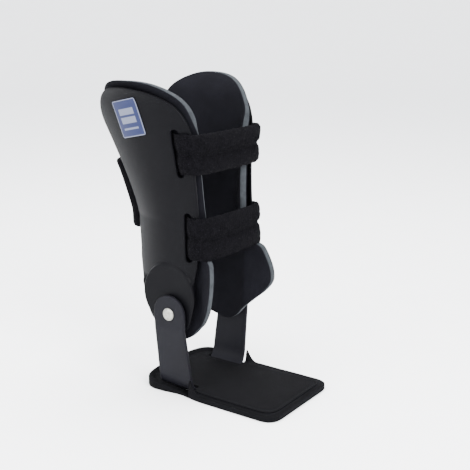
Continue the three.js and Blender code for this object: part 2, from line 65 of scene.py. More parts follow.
LINER_HOOKS = {"upper_liner_hook_patch": (16, 50, 200, 246),
               "lower_liner_hook_patch": (4, 30, 117, 133),
               "rear_strap_hook_tab": (2.5, 11.8, 140, 187)}
FOOTBED = dict(front_y=-103, half=46, corner=14, heel_y=37, heel_start=14, squareness=3.2,
               waist=3, waist_y=-7, waist_reach=13, foam=5, rim_height=8.6, rim_width=4,
               wing_height=16.5, wing_reach=11, strip_low=1.4, strip_high=7.4)
UPRIGHT_HOLE = dict(x0=31, x1=39.8, half=17.6)
THREAD_SIZE = {"strap": (1.7, 0.24), "footbed": (2.0, 0.25)}
STITCH_PITCH = 2.9
LABEL = dict(centre=(33, 234.5), width=27.5, height=30.5, turn=12, border=0.8, bar_half=8.6,
             bars=((5.5, 2.6), (-1.5, 2.6), (-8.5, 0.8)))
RIVET = dict(radius=5.5, rise=1.9, shank=2.5, clinch=4.5, clinch_x=38.3, clinch_end=39.2)

SHELL_OUTLINE = [
    (-18, 96), (-23.5, 112), (-26, 140), (-24.5, 170), (-23, 200), (-22, 226), (-13, 244),
    (6, 255), (30, 259.5), (51, 257.5), (67, 248), (72.5, 234), (65, 212), (54, 185), (46.5, 160),
    (44.5, 136), (42.5, 118), (40, 103), (34, 94), (10, 90)]
LINER_OUTLINE = [
    (-4, 48), (-13.5, 52.2), (-21, 60), (-28.8, 68.6), (-36.7, 76.6), (-41.3, 84.5), (-42.3, 94),
    (-41.2, 104), (-39, 113), (-36.6, 118.8), (-33, 121.4), (-28.8, 123), (-27, 131), (-26.5, 145),
    (-25, 170), (-23.5, 200), (-23, 229), (-14, 249), (5, 261.5), (29, 265), (50, 262.5),
    (65, 252), (69, 236), (61, 212), (50, 183), (45, 158), (45.2, 136), (46.2, 117), (45, 99),
    (43.4, 85), (40.5, 72.5), (35, 63.8), (27, 58), (12, 51)]


# ------------------------ the form of the shell
def smoothstep(low, high, value):
    t = min(max((value - low) / (high - low), 0), 1)
    return t * t * (3 - 2 * t)


def curved_x(y, z):
    """Outer face of the shell's wall, without its boss."""
    rise = max(0, z - SHELL["narrowest"])
    lip = max(0, z - SHELL["lip_height"]) ** 2 / (2 * SHELL["lip_radius"])
    crown = SHELL["crown"] + SHELL["flare_rate"] * rise ** SHELL["flare_power"] + lip
    across = y - SHELL["centre_y"] - SHELL["lean"] * rise
    rear = SHELL["rear_radius"] + SHELL["rear_growth"] * rise
    radius = SHELL["front_radius"] if across < 0 else rear
    return crown - across ** 2 / (2 * radius)


def front_curl(y, z):
    """How far the liner's front margin curls in toward the shin, and how steeply."""
    depth, reach = FRONT_CURL["depth"], FRONT_CURL["reach"]
    past = max(0, (FRONT_CURL["start_y"] - y) / reach)
    low, high = FRONT_CURL["bottom"], FRONT_CURL["top"]
    depth *= smoothstep(low, low + 12, z) * (1 - smoothstep(high - 18, high, z))
    return depth * past ** 1.5, 1.5 * depth / reach * past ** 0.5


def liner_x(y, z):
    """Outer face of the liner. Its lower front lobe and its rear margin turn outward, and its
    front margin curls inward."""
    front = max(0, (LOBE["start_y"] - y) / LOBE["reach"]) ** 1.2
    flare = LOBE["flare"] + LOBE["growth"] * max(0, LOBE["full"] - z)
    flare *= front * min(max((LOBE["top"] - z) / LOBE["fade"], 0), 1)
    behind = min(max((y - REAR_MARGIN["start_y"]) / REAR_MARGIN["reach"], 0), REAR_MARGIN["most"])
    fade = min(max((REAR_MARGIN["top"] - z) / REAR_MARGIN["fade"], 0), 1)
    flare += REAR_MARGIN["flare"] * behind * fade - front_curl(y, z)[0]
    return curved_x(y, z) - SHELL["thickness"] - LINER["hollow"] + flare


def boss_distance(y, z):
    """Signed distance to the outline of the boss, the hull of its two circles."""
    rise = BOSS["z"] - ANKLE_HEIGHT
    length = math.hypot(BOSS["y"], rise)
    along = (y * BOSS["y"] + (z - ANKLE_HEIGHT) * rise) / length
    across = abs(y * rise - (z - ANKLE_HEIGHT) * BOSS["y"]) / length
    taper = (BOSS["lower_radius"] - BOSS["radius"]) / length
    side = math.sqrt(1 - taper * taper)
    reach = side * along - taper * across
    if reach < 0:
        return math.hypot(across, along) - BOSS["lower_radius"]
    if reach > side * length:
        return math.hypot(across, along - length) - BOSS["radius"]
    return side * across + taper * along - BOSS["lower_radius"]


def shell_x(y, z, depth):
    """Outer (depth 0) to inner (depth 1) face of the shell with its raised boss."""
    wall = curved_x(y, z) - SHELL["thickness"] * depth
    boss = BOSS["x"] - SHELL["thickness"] * depth
    inside = boss_distance(y, z) + SHELL["thickness"] * depth
    below = smoothstep(*BOSS["wall_ends"], z)
    ramp = smoothstep(-BOSS["ledge"], BOSS["ledge"], inside) * (1 - below)
    return boss + (wall - boss) * ramp


# ------------------------ outlines
def running_length(points):
    return np.concatenate([[0], np.cumsum(np.linalg.norm(np.diff(points, axis=0), axis=1))])


def between(start, leaving, end, arriving, t):
    """The point at t, from 0 to 1, of the cubic curve with these ends and end tangents."""
    rise = t * t * (3 - 2 * t)
    return (1 - rise) * start + t * (1 - t) ** 2 * leaving + rise * end + t * t * (t - 1) * arriving


def closed_curve(knots, step):
    """A closed centripetal Catmull-Rom curve through the knots, resampled at an even step."""
    points = [np.array(k, float) for k in knots]
    fine = []
    count = len(points)
    for i in range(count):
        p0, p1, p2, p3 = (points[(i + k - 1) % count] for k in range(4))
        d0, d1, d2 = (math.sqrt(np.linalg.norm(b - a)) for a, b in ((p0, p1), (p1, p2), (p2, p3)))
        m1 = ((p1 - p0) / d0 - (p2 - p0) / (d0 + d1) + (p2 - p1) / d1) * d1
        m2 = ((p2 - p1) / d1 - (p3 - p1) / (d1 + d2) + (p3 - p2) / d2) * d1
        fine += [between(p1, m1, p2, m2, t) for t in np.linspace(0, 1, 24, endpoint=False)]
    return resample(fine, step)


def resample(points, step):
    """A closed loop of evenly spaced points, turning anticlockwise."""
    ring = np.array(points, float)
    area = np.sum(ring[:, 0] * np.roll(ring[:, 1], -1) - np.roll(ring[:, 0], -1) * ring[:, 1])
    if area < 0:
        ring = ring[::-1]
    closed = np.vstack([ring, ring[:1]])
    lengths = running_length(closed)
    count = max(8, round(lengths[-1] / step))
    at = np.linspace(0, lengths[-1], count, endpoint=False)
    return np.stack([np.interp(at, lengths, closed[:, k]) for k in (0, 1)], axis=1)


def normals_of(loop):
    tangent = np.roll(loop, -1, axis=0) - np.roll(loop, 1, axis=0)
    tangent /= np.linalg.norm(tangent, axis=1)[:, None] + 1e-12
    return np.stack([tangent[:, 1], -tangent[:, 0]], axis=1)


def offset_loop(loop, distance):
    return loop + normals_of(loop) * distance


def soften(loop, rounds):
    for _ in range(rounds):
        loop = (np.roll(loop, 1, axis=0) + 2 * loop + np.roll(loop, -1, axis=0)) / 4
    return loop


def inside_loop(points, loop):
    x, y = points[:, 0][:, None], points[:, 1][:, None]
    ax, ay = loop[:, 0][None], loop[:, 1][None]
    bx, by = np.roll(loop, -1, axis=0)[:, 0][None], np.roll(loop, -1, axis=0)[:, 1][None]
    crosses = (ay > y) != (by > y)
    at = ax + (bx - ax) * (y - ay) / np.where(by == ay, 1e-9, by - ay)
    return (np.sum(crosses & (x < at), axis=1) % 2) == 1


def circle(centre, radius, step=1.0):
    count = max(16, round(2 * math.pi * radius / step))
    angles = np.linspace(0, 2 * math.pi, count, endpoint=False)
    return np.stack([centre[0] + radius * np.cos(angles), centre[1] + radius * np.sin(angles)], axis=1)


def capsule(start, end, radius, step=1.0):
    """A slot with round ends, whose tips are start and end."""
    a, b = Vector(start), Vector(end)
    along = (b - a).normalized()
    a, b = a + along * radius, b - along * radius
    across = Vector((along.y, -along.x))
    points = []
    for centre, first in ((b, 0), (a, math.pi)):
        for k in range(17):
            angle = first + math.pi * k / 16
            points.append(centre + radius * (across * math.cos(angle) + along * math.sin(angle)))
    return resample([tuple(p) for p in points], step)


def union_outline(first, second):
    """The outer loop round two overlapping outlines."""
    pieces = []
    for loop, other in ((first, second), (second, first)):
        outside = ~inside_loop(loop, other)
        start = int(np.argmax(outside & ~np.roll(outside, 1)))
        rolled = np.roll(np.arange(len(loop)), -start)
        pieces.append(loop[[i for i in rolled if outside[i]]])
    return np.vstack(pieces)


# ------------------------ plates: shells, liners, pads
def triangulate(outline, holes, guides, spacing):
    """Triangles over the area inside the outline and outside the holes. Guides are open lines
    that the triangles follow."""
    edge_points = np.vstack([outline] + holes + guides)
    low, high = outline.min(axis=0), outline.max(axis=0)
    rows = []
    for r, v in enumerate(np.arange(low[1], high[1], spacing * 0.866)):
        for u in np.arange(low[0] + (r % 2) * spacing / 2, high[0], spacing):
            rows.append((u, v))
    grid = np.array(rows)
    keep = inside_loop(grid, outline)
    for hole in holes:
        keep &= ~inside_loop(grid, hole)
    grid = grid[keep]
    near = np.full(len(grid), 1e9)
    for block in np.array_split(edge_points, max(1, len(edge_points) // 200)):
        distance = np.linalg.norm(grid[:, None] - block[None], axis=2).min(axis=1)
        near = np.minimum(near, distance)
    grid = grid[near > spacing * 0.55]
    points, edges = [], []
    for line in [outline] + holes + guides:
        start, count = len(points), len(line)
        points += [Vector(p) for p in line]
        edges += [(start + k, start + k + 1) for k in range(count - 1)]
        if not any(line is guide for guide in guides):
            edges.append((start + count - 1, start))
    points += [Vector(p) for p in grid]
    flat, _, faces, *_ = geometry.delaunay_2d_cdt(points, edges, [], 0, 1e-5)
    flat = np.array([tuple(p) for p in flat])
    faces = np.array(faces)
    middle = flat[faces].mean(axis=1)
    good = inside_loop(middle, outline)
    for hole in holes:
        good &= ~inside_loop(middle, hole)
    faces = faces[good]
    a, b, c = (flat[faces[:, k]] for k in range(3))
    area = (b[:, 0] - a[:, 0]) * (c[:, 1] - a[:, 1]) - (b[:, 1] - a[:, 1]) * (c[:, 0] - a[:, 0])
    faces = np.where((area < 0)[:, None], faces[:, ::-1], faces)
    used = np.unique(faces)
    renumber = np.zeros(len(flat), int)
    renumber[used] = np.arange(len(used))
    return flat[used], renumber[faces]


def boundary_loops(faces):
    """The ordered boundary loops of anticlockwise triangles."""
    directed = {(f[k], f[(k + 1) % 3]) for f in faces for k in range(3)}
    following = {a: b for a, b in directed if (b, a) not in directed}
    loops = []
    while following:
        start, at = next(iter(following.items()))
        loop = [start]
        del following[start]
        while at != start:
            loop.append(at)
            at = following.pop(at)
        loops.append(loop)
    return loops


def plate(name, outline, place, spacing, inset, rim, holes=(), guides=()):
    """A sheet solid. place(u, v, depth) gives a point from the outer face (depth 0) to the inner
    one (depth 1), rim lists (depth, outward) rings round every edge, and inset is how far the
    faces stop short of the outline."""
    hole_rings = [offset_loop(hole, inset) for hole in holes]
    flat, faces = triangulate(offset_loop(outline, -inset), hole_rings, list(guides), spacing)
    count = len(flat)
    vertices = [place(u, v, 0) for u, v in flat] + [place(u, v, 1) for u, v in flat]
    polygons = [tuple(f) for f in faces] + [tuple(f[::-1] + count) for f in faces]
    for loop in boundary_loops([tuple(int(i) for i in f) for f in faces]):
        corners = flat[loop]
        outward = normals_of(corners)
        rings = [list(loop)]
        for depth, out in rim:
            start = len(vertices)
            vertices += [place(u, v, depth) for u, v in corners + outward * out]
            rings.append(list(range(start, start + len(loop))))
        rings.append([i + count for i in loop])
        for upper, lower in zip(rings, rings[1:]):
            for i in range(len(loop)):
                j = (i + 1) % len(loop)
                polygons.append((upper[j], upper[i], lower[i], lower[j]))
    return new_mesh(name, vertices, polygons)


def new_mesh(name, vertices, polygons):
    data = bpy.data.meshes.new(name)
    data.from_pydata([tuple(float(c) * MM for c in v) for v in vertices], [],
                     [tuple(int(i) for i in p) for p in polygons])
    piece = bpy.data.objects.new(name, data)
    bpy.context.scene.collection.objects.link(piece)
    shape = bmesh.new()
    shape.from_mesh(data)
    bmesh.ops.remove_doubles(shape, verts=shape.verts, dist=1e-7)
    bmesh.ops.recalc_face_normals(shape, faces=shape.faces)
    shape.to_mesh(data)
    shape.free()
    for polygon in data.polygons:
        polygon.use_smooth = True
    return piece


def tube_faces(start, rings, sides):
    """Faces of a closed tube, whose rings of points follow each other from index start."""
    faces = []
    for ring in range(rings - 1):
        for k in range(sides):
            a, b = start + ring * sides + k, start + ring * sides + (k + 1) % sides
            faces.append((a, b, b + sides, a + sides))
    first = tuple(start + k for k in reversed(range(sides)))
    last = tuple(start + (rings - 1) * sides + k for k in range(sides))
    return faces + [first, last]


def round_rim(thickness, radius, steps=4):
    """Rings that round both edges of a rim, starting radius inside the outline."""
    turns = [math.pi / 2 * (k + 1) / steps for k in range(steps)]
    upper = [(radius * (1 - math.cos(t)) / thickness, radius * math.sin(t)) for t in turns]
    return upper + [(1 - depth, out) for depth, out in reversed(upper)]


def bulged_rim(bulge, steps=7):
    """Rings of a soft cut edge that swells outward between its two faces."""
    depths = [(k + 1) / (steps + 1) for k in range(steps)]
    return [(depth, bulge * math.sin(math.pi * depth) ** 0.6) for depth in depths]


def mirrored(point, direction):
    return (point[0] * direction, point[1], point[2])


def declare(piece, body, slot, nodes=()):
    """Says what a finished piece rides on, stands for and is made of."""
    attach(piece, body)
    if nodes:
        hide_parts(*nodes)
    piece.data.materials.clear()
    piece.data.materials.append(LOOKS[slot])


def ripple(y, z, size, seed):
    """A gentle unevenness between -1 and 1, with hollows about size millimetres across."""
    return noise.noise(Vector((y / size, z / size, seed)))


# ------------------------ materials
def srgb(red, green, blue):
    channel = lambda c: c / 12.92 if c <= 0.04045 else ((c + 0.055) / 1.055) ** 2.4
    return tuple(channel(c / 255) for c in (red, green, blue)) + (1,)


def tinted(color, factor):
    return tuple(factor * channel for channel in color[:3]) + (1,)


class Look:
    """A procedural material, with every pattern sized in millimetres."""

    def __init__(self, name, roughness, metallic=0.0, sheen=0.0, sheen_tint=None, specular=0.5):
        self.material = bpy.data.materials.new(name)
        self.material.use_nodes = True
        self.tree = self.material.node_tree
        self.shader = self.tree.nodes["Principled BSDF"]
        self.shader.inputs["Roughness"].default_value = roughness
        self.shader.inputs["Metallic"].default_value = metallic
        self.shader.inputs["Specular IOR Level"].default_value = specular
        if sheen:
            self.shader.inputs["Sheen Weight"].default_value = sheen
            self.shader.inputs["Sheen Roughness"].default_value = 0.45
            self.shader.inputs["Sheen Tint"].default_value = sheen_tint
        self.place = self.add("ShaderNodeTexCoord").outputs["Object"]
        self.relief = None

    def add(self, kind, **values):
        node = self.tree.nodes.new(kind)
        for key, value in values.items():
            setattr(node, key, value)
        return node

    def join(self, source, socket):
        if isinstance(source, (int, float)):
            socket.default_value = source
        else:
            self.tree.links.new(source, socket)

    def mapped(self, scale=(1, 1, 1), turn=(0, 0, 0)):
        node = self.add("ShaderNodeMapping")
        self.join(self.place, node.inputs["Vector"])
        node.inputs["Scale"].default_value = scale
        node.inputs["Rotation"].default_value = turn
        return node.outputs["Vector"]

    def pattern(self, kind, scale, vector=None, **values):
        node = self.add(kind, **values)
        self.join(vector or self.place, node.inputs["Vector"])
        node.inputs["Scale"].default_value = scale / MM
        return node

    def grain(self, size, detail=2.0, roughness=0.5, vector=None):
        node = self.pattern("ShaderNodeTexNoise", 1 / size, vector)
        node.inputs["Detail"].default_value = detail
        node.inputs["Roughness"].default_value = roughness
        return node.outputs["Fac"]

    def cells(self, size):
        return self.pattern("ShaderNodeTexVoronoi", 1 / size).outputs["Distance"]

    def threads(self, size, direction, distortion=0.0):
        node = self.pattern("ShaderNodeTexWave", math.pi / 10 / size, bands_direction=direction)
        node.inputs["Distortion"].default_value = distortion
        node.inputs["Detail"].default_value = 1.0
        return node.outputs["Fac"]

    def math(self, operation, first, second=0.0):
        node = self.add("ShaderNodeMath", operation=operation)
        for socket, value in zip(node.inputs, (first, second)):
            self.join(value, socket)
        return node.outputs[0]

    def span(self, value, low, high, start, end):
        node = self.add("ShaderNodeMapRange")
        limits = {"From Min": low, "From Max": high, "To Min": start, "To Max": end}
        for key, number in limits.items():
            node.inputs[key].default_value = number
        self.join(value, node.inputs["Value"])
        return node.outputs["Result"]

    def blend(self, factor, first, second):
        node = self.add("ShaderNodeMix", data_type="RGBA")
        self.join(factor, node.inputs["Factor"])
        for value, socket in ((first, node.inputs[6]), (second, node.inputs[7])):
            if isinstance(value, tuple):
                socket.default_value = value
            else:
                self.join(value, socket)
        return node.outputs[2]

    def bump(self, height, distance, strength=1.0):
        node = self.add("ShaderNodeBump")
        node.inputs["Strength"].default_value = strength
        node.inputs["Distance"].default_value = distance * MM
        self.join(height, node.inputs["Height"])
        if self.relief:
            self.join(self.relief, node.inputs["Normal"])
        self.relief = node.outputs["Normal"]

    def finish(self, color, roughness=None):
        self.join(color, self.shader.inputs["Base Color"])
        if roughness is not None:
            self.join(roughness, self.shader.inputs["Roughness"])
        if self.relief:
            self.join(self.relief, self.shader.inputs["Normal"])
        return self.material


def moulded_plastic(name, dark, light, roughness):
    """Satin moulded plastic: a fine pebbled grain, faint flow marks and a few light scuffs."""
    look = Look(name, roughness, specular=0.035)
    flow = look.grain(38, 3.0, vector=look.mapped(scale=(1, 1, 0.35)))
    pebble = look.grain(0.7, 3.0, 0.6)
    scuff = look.grain(2.2, 4.0, 0.7, vector=look.mapped(scale=(1, 1, 0.12), turn=(0.5, 0, 0)))
    scuffs = look.span(scuff, 0.66, 0.8, 0.0, 0.35)
    color = look.blend(look.span(flow, 0.3, 0.7, 0.0, 1.0), dark, light)
    speckled = look.blend(look.span(pebble, 0.35, 0.75, 0.0, 0.3), color, light)
    worn = look.blend(scuffs, speckled, tinted(light, 2.2))
    look.bump(pebble, 0.09, 0.55)
    look.bump(flow, 0.35, 0.3)
    spread = look.math("ADD", look.span(pebble, 0.3, 0.7, -0.05, 0.07), roughness)
    return look.finish(worn, spread)


def plush_pile(name, dark, light, sheen_color):
    """Brushed loop pile: soft tufts with a painted highlight on their tips, where they catch the light,
    and lighter patches of painted sheen.
    """
    look = Look(name, 0.95, sheen=0.05, sheen_tint=sheen_color, specular=0.03)
    tufts = look.cells(0.95)
    fibre = look.grain(0.4, 4.0, 0.75)
    patches = look.grain(4, 4.0, 0.65)
    # Tuft tips are painted lighter than their roots: a painted highlight.
    tips = look.span(tufts, 0.1, 0.75, 1.0, 0.15)
    shade = look.math("MULTIPLY", tips, look.span(fibre, 0.3, 0.7, 0.5, 1.2))
    color = look.blend(shade, dark, light)
    # Patches blended toward the sheen colour are painted sheen, not a change of dye.
    painted_sheen = look.blend(look.span(patches, 0.45, 0.75, 0.0, 0.4), color, sheen_color)
    look.bump(look.span(tufts, 0.0, 0.7, 1.0, 0.0), 0.55, 0.8)
    look.bump(fibre, 0.5, 0.8)
    return look.finish(painted_sheen)


def knit_fabric(name, dark, light):
    """Fine brushed knit: crossed rows of loops under a short nap."""
    look = Look(name, 0.9, sheen=0.06, sheen_tint=light, specular=0.04)
    courses = look.threads(0.9, "Z", 0.6)
    wales = look.threads(0.8, "Y", 0.6)
    loops = look.math("MULTIPLY", courses, wales)
    nap = look.grain(0.35, 4.0, 0.7)
    patches = look.grain(14, 3.0)
    color = look.blend(look.span(loops, 0.0, 1.0, 0.1, 0.9), dark, light)
    soft = look.blend(look.span(patches, 0.35, 0.7, 0.0, 0.5), color, dark)
    look.bump(loops, 0.25, 0.6)
    look.bump(nap, 0.2, 0.6)
    return look.finish(soft)


def cut_foam(name, dark, light):
    """Closed-cell foam, cut across: small open pores over a faintly mottled grey, with painted shade
    darkening the pores.
    """
    look = Look(name, 0.85, specular=0.1)
    pores = look.cells(0.75)
    coarse = look.cells(1.9)
    mottle = look.grain(6, 4.0, 0.65)
    color = look.blend(look.span(mottle, 0.3, 0.7, 0.0, 1.0), dark, light)
    # The pores are painted darker: painted shade in their hollows.
    pores_shaded = look.blend(look.span(pores, 0.0, 0.28, 0.65, 0.0), color, tinted(dark, 0.45))
    look.bump(look.span(pores, 0.0, 0.4, 0.0, 1.0), 0.3, 0.8)
    look.bump(look.span(coarse, 0.0, 0.3, 0.0, 1.0), 0.25, 0.5)
    return look.finish(pores_shaded)


def hook_tape(name, dark, light):
    """Hook tape: close rows of tiny upright hooks on a woven ground."""
    look = Look(name, 0.7, specular=0.35)
    hooks = look.cells(1.05)
    ground = look.threads(0.6, "Z", 0.3)
    tips = look.span(hooks, 0.0, 0.42, 1.0, 0.0)
    color = look.blend(tips, dark, light)
    look.bump(tips, 0.6, 1.0)
    look.bump(ground, 0.12, 0.5)
    return look.finish(color, look.span(hooks, 0.0, 0.5, 0.45, 0.85))


def turned_nylon(name, dark, light):
    look = Look(name, 0.5, specular=0.4)
    rings = look.grain(0.5, 2.0, vector=look.mapped(scale=(0.2, 1, 1)))
    haze = look.grain(5, 3.0)
    look.bump(rings, 0.05, 0.5)
    return look.finish(look.blend(haze, dark, light), look.span(haze, 0.3, 0.7, 0.4, 0.62))


def plated_steel(name, dark, light):
    """Nickel plating with fine turning marks and a little tarnish."""
    look = Look(name, 0.32, metallic=0.85, specular=0.5)
    marks = look.grain(0.35, 3.0, 0.6, vector=look.mapped(scale=(0.3, 1, 1)))
    tarnish = look.grain(2.6, 4.0, 0.6)
    color = look.blend(look.span(tarnish, 0.35, 0.75, 0.0, 0.7), light, dark)
    look.bump(marks, 0.03, 0.5)
    return look.finish(color, look.span(tarnish, 0.3, 0.7, 0.26, 0.44))


def sewing_thread(name, dark, light):
    look = Look(name, 0.85, sheen=0.03, sheen_tint=light, specular=0.05)
    twist = look.threads(0.3, "DIAGONAL", 0.5)
    look.bump(twist, 0.08, 0.8)
    return look.finish(look.blend(twist, dark, light))


def printed_label(name, blue, pale, roughness=0.42):
    """A printed card under clear film: a blue field, a pale border and plain pale bars."""
    look = Look(name, roughness, specular=0.15)
    turn = math.radians(LABEL["turn"])
    centre_y, centre_z = LABEL["centre"]
    split = look.add("ShaderNodeSeparateXYZ")
    look.join(look.place, split.inputs["Vector"])
    y = look.math("SUBTRACT", split.outputs["Y"], centre_y * MM)
    z = look.math("SUBTRACT", split.outputs["Z"], centre_z * MM)
    times = lambda first, second: look.math("MULTIPLY", first, second)
    across = look.math("SUBTRACT", times(y, math.cos(turn)), times(z, math.sin(turn)))
    along = look.math("ADD", times(y, math.sin(turn)), times(z, math.cos(turn)))
    soft = 0.12 * MM

    def within(value, centre, half):
        away = look.math("ABSOLUTE", look.math("SUBTRACT", value, centre * MM))
        return look.span(look.math("SUBTRACT", away, half * MM), -soft, soft, 1.0, 0.0)

    border = LABEL["border"]
    field = times(within(across, 0, LABEL["width"] / 2 - border),
                  within(along, 0, LABEL["height"] / 2 - border))
    bars = None
    for centre, half in LABEL["bars"]:
        bar = times(within(along, centre, half), within(across, 0, LABEL["bar_half"]))
        bars = bar if bars is None else look.math("MAXIMUM", bars, bar)
    fibre = look.grain(0.5, 3.0)
    ink = look.blend(look.span(fibre, 0.3, 0.7, 0.0, 1.0), blue, tinted(blue, 1.18))
    paper = look.blend(look.span(fibre, 0.3, 0.7, 0.0, 1.0), pale, tinted(pale, 0.88))
    printed = look.blend(field, paper, ink)
    look.bump(fibre, 0.04, 0.5)
    return look.finish(look.blend(times(bars, field), printed, paper))


LOOKS = {
    "shell_plastic": moulded_plastic("shell_plastic", srgb(5, 5, 7), srgb(8, 8, 10), 0.42),
    "stirrup_plastic": moulded_plastic("stirrup_plastic", srgb(15, 15, 18), srgb(20, 20, 24), 0.4),
    "footbed": knit_fabric("footbed", srgb(5, 5, 6), srgb(14, 14, 17)),
    "liner_fabric": knit_fabric("liner_fabric", srgb(7, 7, 10), srgb(22, 22, 27)),
    "liner_foam": cut_foam("liner_foam", srgb(33, 35, 38), srgb(48, 51, 54)),
    "plush": plush_pile("plush", srgb(2, 2, 3), srgb(11, 10, 13), srgb(17, 16, 19)),
    "hook_tape": hook_tape("hook_tape", srgb(5, 5, 6), srgb(26, 26, 29)),
    "washer_nylon": turned_nylon("washer_nylon", srgb(12, 12, 14), srgb(22, 22, 25)),
    "rivet_steel": plated_steel("rivet_steel", srgb(92, 90, 82), srgb(150, 150, 143)),
    "label_blue": printed_label("label_blue", srgb(16, 24, 56), srgb(86, 90, 106)),
}
THREAD = sewing_thread("thread", srgb(4, 4, 5), srgb(14, 14, 16))


# ------------------------ shells
shell_outline = closed_curve(SHELL_OUTLINE, 1.5)
liner_outline = closed_curve(LINER_OUTLINE, 1.5)


def boss_loop(step, grow=0.0):
    """The loop round the boss where boss_distance is grow, from its lowest point and back."""
    centre = Vector((BOSS["y"] / 2, (BOSS["z"] + ANKLE_HEIGHT) / 2))
    points = []
    for k in range(240):
        angle = 2 * math.pi * k / 240 - math.pi / 2
        ray = Vector((math.cos(angle), math.sin(angle)))
        low, high = 0.0, 60.0
        for _ in range(24):
            middle = (low + high) / 2
            at = centre + ray * middle
            low, high = (middle, high) if boss_distance(at.x, at.y) < grow else (low, middle)
        points.append(tuple(centre + ray * low))
    return resample(points, step)


def build_shell(side, direction):
    outline = soften(resample(union_outline(shell_outline, boss_loop(1.0)), 1.2), 4)
    holes = [capsule(*SLOTS[name], SLOT_HALF) for name in SLOTS]
    holes.append(circle((0, ANKLE_HEIGHT), RIVET["shank"] + 0.3, 0.8))
    inner = offset_loop(outline, -2.2)
    guides = []
    for grow in (-1.0, -0.5, 0.0, 0.5, 1.0):
        loop = boss_loop(0.9, grow)
        guides.append(loop[(loop[:, 1] > BOSS["z"]) & inside_loop(loop, inner)])
    place = lambda y, z, depth: mirrored((shell_x(y, z, depth), y, z), direction)
    rim = round_rim(SHELL["thickness"], 0.9)
    piece = plate(f"{side}_shell_moulding", outline, place, 1.7, 0.9, rim, holes, guides)
    declare(piece, f"{side}_side", "shell_plastic", [f"{side}_shell"])


# ------------------------ liners
def build_liner(side, direction):
    """A laminate of fabric, foam and fabric. Its foam swells a little at the cut edge."""
    seed = 3.0 if direction < 0 else 8.0
    layers = (("outer_fabric", 0, LINER["fabric"], "liner_fabric"),
              ("foam", LINER["fabric"], LINER["foam"], "liner_foam"),
              ("inner_fabric", LINER["fabric"] + LINER["foam"], LINER["fabric"], "liner_fabric"))
    tangle = np.array([ripple(y, z, 22, seed) * 0.5 for y, z in liner_outline])
    outline = liner_outline + normals_of(liner_outline) * tangle[:, None]
    for layer, start, thickness, slot in layers:
        swell = 0.35 if layer == "foam" else 0.0

        def place(y, z, depth, start=start, thickness=thickness):
            slope = front_curl(y, z)[1]
            inward = (start + thickness * depth) / math.hypot(1, slope)
            bumpy = 0.35 * ripple(y, z, 26, seed) + 0.12 * ripple(y, z, 7, seed)
            return mirrored((liner_x(y, z) - inward + bumpy, y + slope * inward, z), direction)

        rim = bulged_rim(swell) if layer == "foam" else round_rim(thickness, 0.4, 3)
        inset = 0.0 if layer == "foam" else 0.4
        piece = plate(f"{side}_liner_{layer}_pad", outline, place, 2.4, inset, rim)
        declare(piece, f"{side}_side", slot, [f"{side}_liner_{layer}"])


def rounded_box(y0, y1, z0, z1, radius, step=0.9):
    points = []
    for centre_y, centre_z, first in ((y1 - radius, z1 - radius, 0), (y0 + radius, z1 - radius, 90),
                                      (y0 + radius, z0 + radius, 180), (y1 - radius, z0 + radius, 270)):
        for turn in range(0, 91, 10):
            angle = math.radians(first + turn)
            points.append((centre_y + radius * math.cos(angle), centre_z + radius * math.sin(angle)))
    return resample(points, step)


def build_patch(name, node, body, direction, corners, surface, low, high, radius=3.5):
    """A flat piece of hook tape that lies on a surface between two distances from it."""
    place = lambda y, z, depth: mirrored((surface(y, z) + high - (high - low) * depth, y, z), direction)
    rim = round_rim(high - low, 0.3, 2)
    piece = plate(name, rounded_box(*corners, radius), place, 1.8, 0.3, rim)
    declare(piece, body, "hook_tape", [node])


# ------------------------ straps
TAIL_OFFSET = -SHELL["thickness"] - LINER["hollow"] / 2
OUTSIDE_OFFSET = STRAP["lift"] + STRAP["thickness"] / 2


def slot_y(level, z):
    (y0, z0), (y1, z1) = SLOTS[level]
    return y0 + (y1 - y0) * (z - z0) / (z1 - z0)


def edge_y(outline, z, pick):
    """The front-most (min) or rear-most (max) Y of an outline at height z."""
    following = np.roll(outline, -1, axis=0)
    crosses = (outline[:, 1] - z) * (following[:, 1] - z) <= 0
    a, b = outline[crosses], following[crosses]
    return float(pick(a[:, 0] + (b[:, 0] - a[:, 0]) * (z - a[:, 1]) / (b[:, 1] - a[:, 1] + 1e-9)))


def front_path(level, z):
    """Stations [x, y, half thickness] of a front strap, from its lateral tail to its medial end."""
    tail, half = STRAP["tail"] / 2, STRAP["thickness"] / 2
    middle = slot_y(level, z)
    edge = edge_y(shell_outline, z, np.min)
    pad = edge_y(liner_outline, z, np.min)
    lateral = lambda y, off: (-(curved_x(y, z) + off), y)
    stations = [
        (*lateral(middle + STRAP["tail_length"], TAIL_OFFSET), tail),
        (*lateral(middle + 12, TAIL_OFFSET), tail),
        (*lateral(middle + 3.6, TAIL_OFFSET), tail),
        (*lateral(middle + 1.2, -2.6), tail),
        (*lateral(middle - 1.2, 0.4), tail),
        (*lateral(middle - 3.8, 2.1), tail + 0.5),
        (*lateral((middle + edge) / 2 - 1.5, OUTSIDE_OFFSET), half),
        (*lateral(edge, OUTSIDE_OFFSET), half)]
    wide = curved_x(pad, z) + OUTSIDE_OFFSET
    flatten = lambda value: math.copysign(abs(value) ** 0.8, value)
    for step in range(15):
        angle = math.pi * step / 14
        stations.append((-wide * flatten(math.cos(angle)),
                         pad - 1 - STRAP["depth"] * flatten(math.sin(angle)), half))
    end = TABS[level][0] - 0.3
    stations.append((curved_x(edge, z) + OUTSIDE_OFFSET, edge, half))
    stations.append((curved_x(end, z) + OUTSIDE_OFFSET, end, half))
    return np.array(stations)


